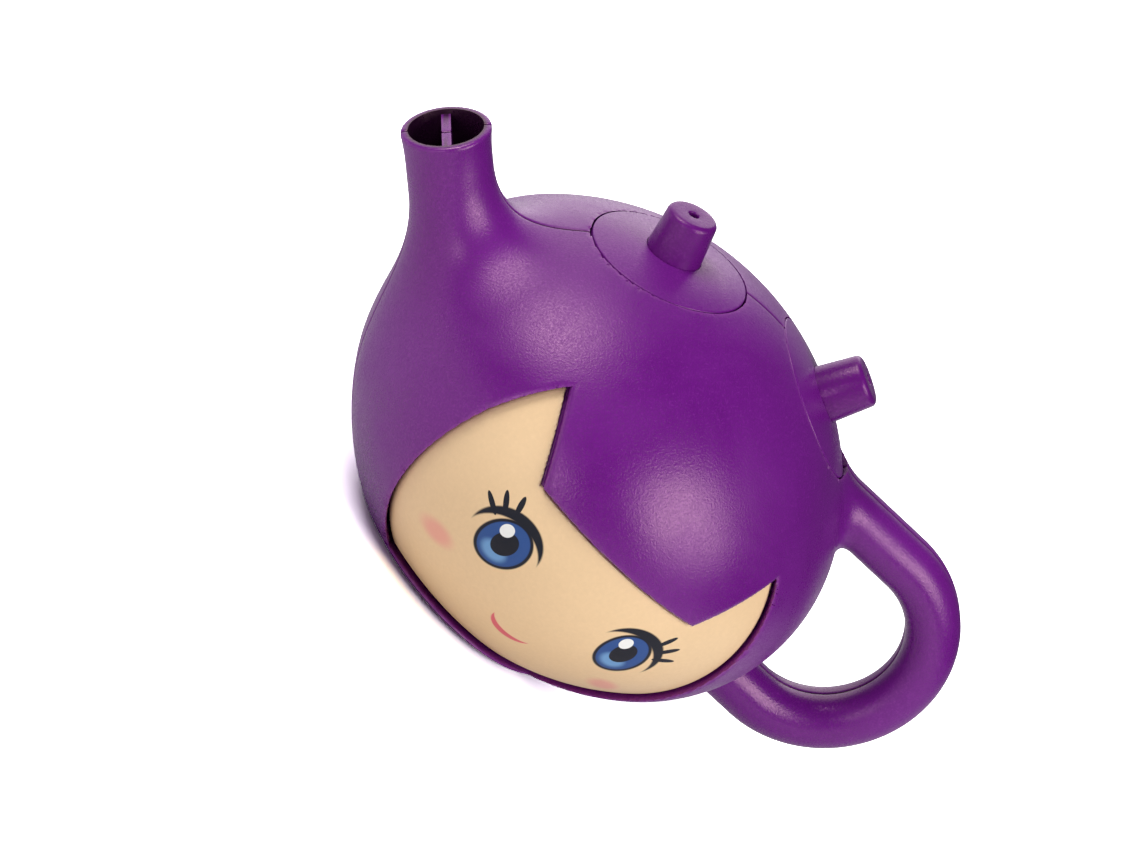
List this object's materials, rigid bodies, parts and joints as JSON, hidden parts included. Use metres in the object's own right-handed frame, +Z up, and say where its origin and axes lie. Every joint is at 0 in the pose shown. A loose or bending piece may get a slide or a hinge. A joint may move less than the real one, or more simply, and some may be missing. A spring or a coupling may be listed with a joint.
{
  "type": "toy teapot",
  "caption": "Round toy teapot in halved moulded shells with a blended spout, loop handle, inset face panel and lift-off vented lids over separate chambers.",
  "frame": {"origin": "middle of the flat base, on the parting plane of the shells", "axes": "+Z up from the base, +X towards the handle, -Y towards the face panel"},
  "size_m": [0.1714, 0.1098, 0.0937],
  "materials": {
    "shell": "satin moulded purple plastic with a fine grain",
    "panel": "satin cream plastic with a plain printed face",
    "seal": "soft translucent silicone"
  },
  "bodies": {
    "pot": {"front_shell": "shell", "back_shell": "shell", "face_panel": "panel"},
    "spout_side_lid": {"spout_side_lid": "shell", "spout_side_knob": "shell", "spout_side_seal": "seal"},
    "handle_side_lid": {"handle_side_lid": "shell", "handle_side_knob": "shell", "handle_side_seal": "seal"}
  },
  "joints": [
    {"name": "spout_side_lid_lift", "type": "slide", "parent": "pot", "child": "spout_side_lid", "axis": [-0.3827, 0, 0.9239], "range_m": [0, 0.04]},
    {"name": "handle_side_lid_lift", "type": "slide", "parent": "pot", "child": "handle_side_lid", "axis": [0.3827, 0, 0.9239], "range_m": [0, 0.04]}
  ]
}
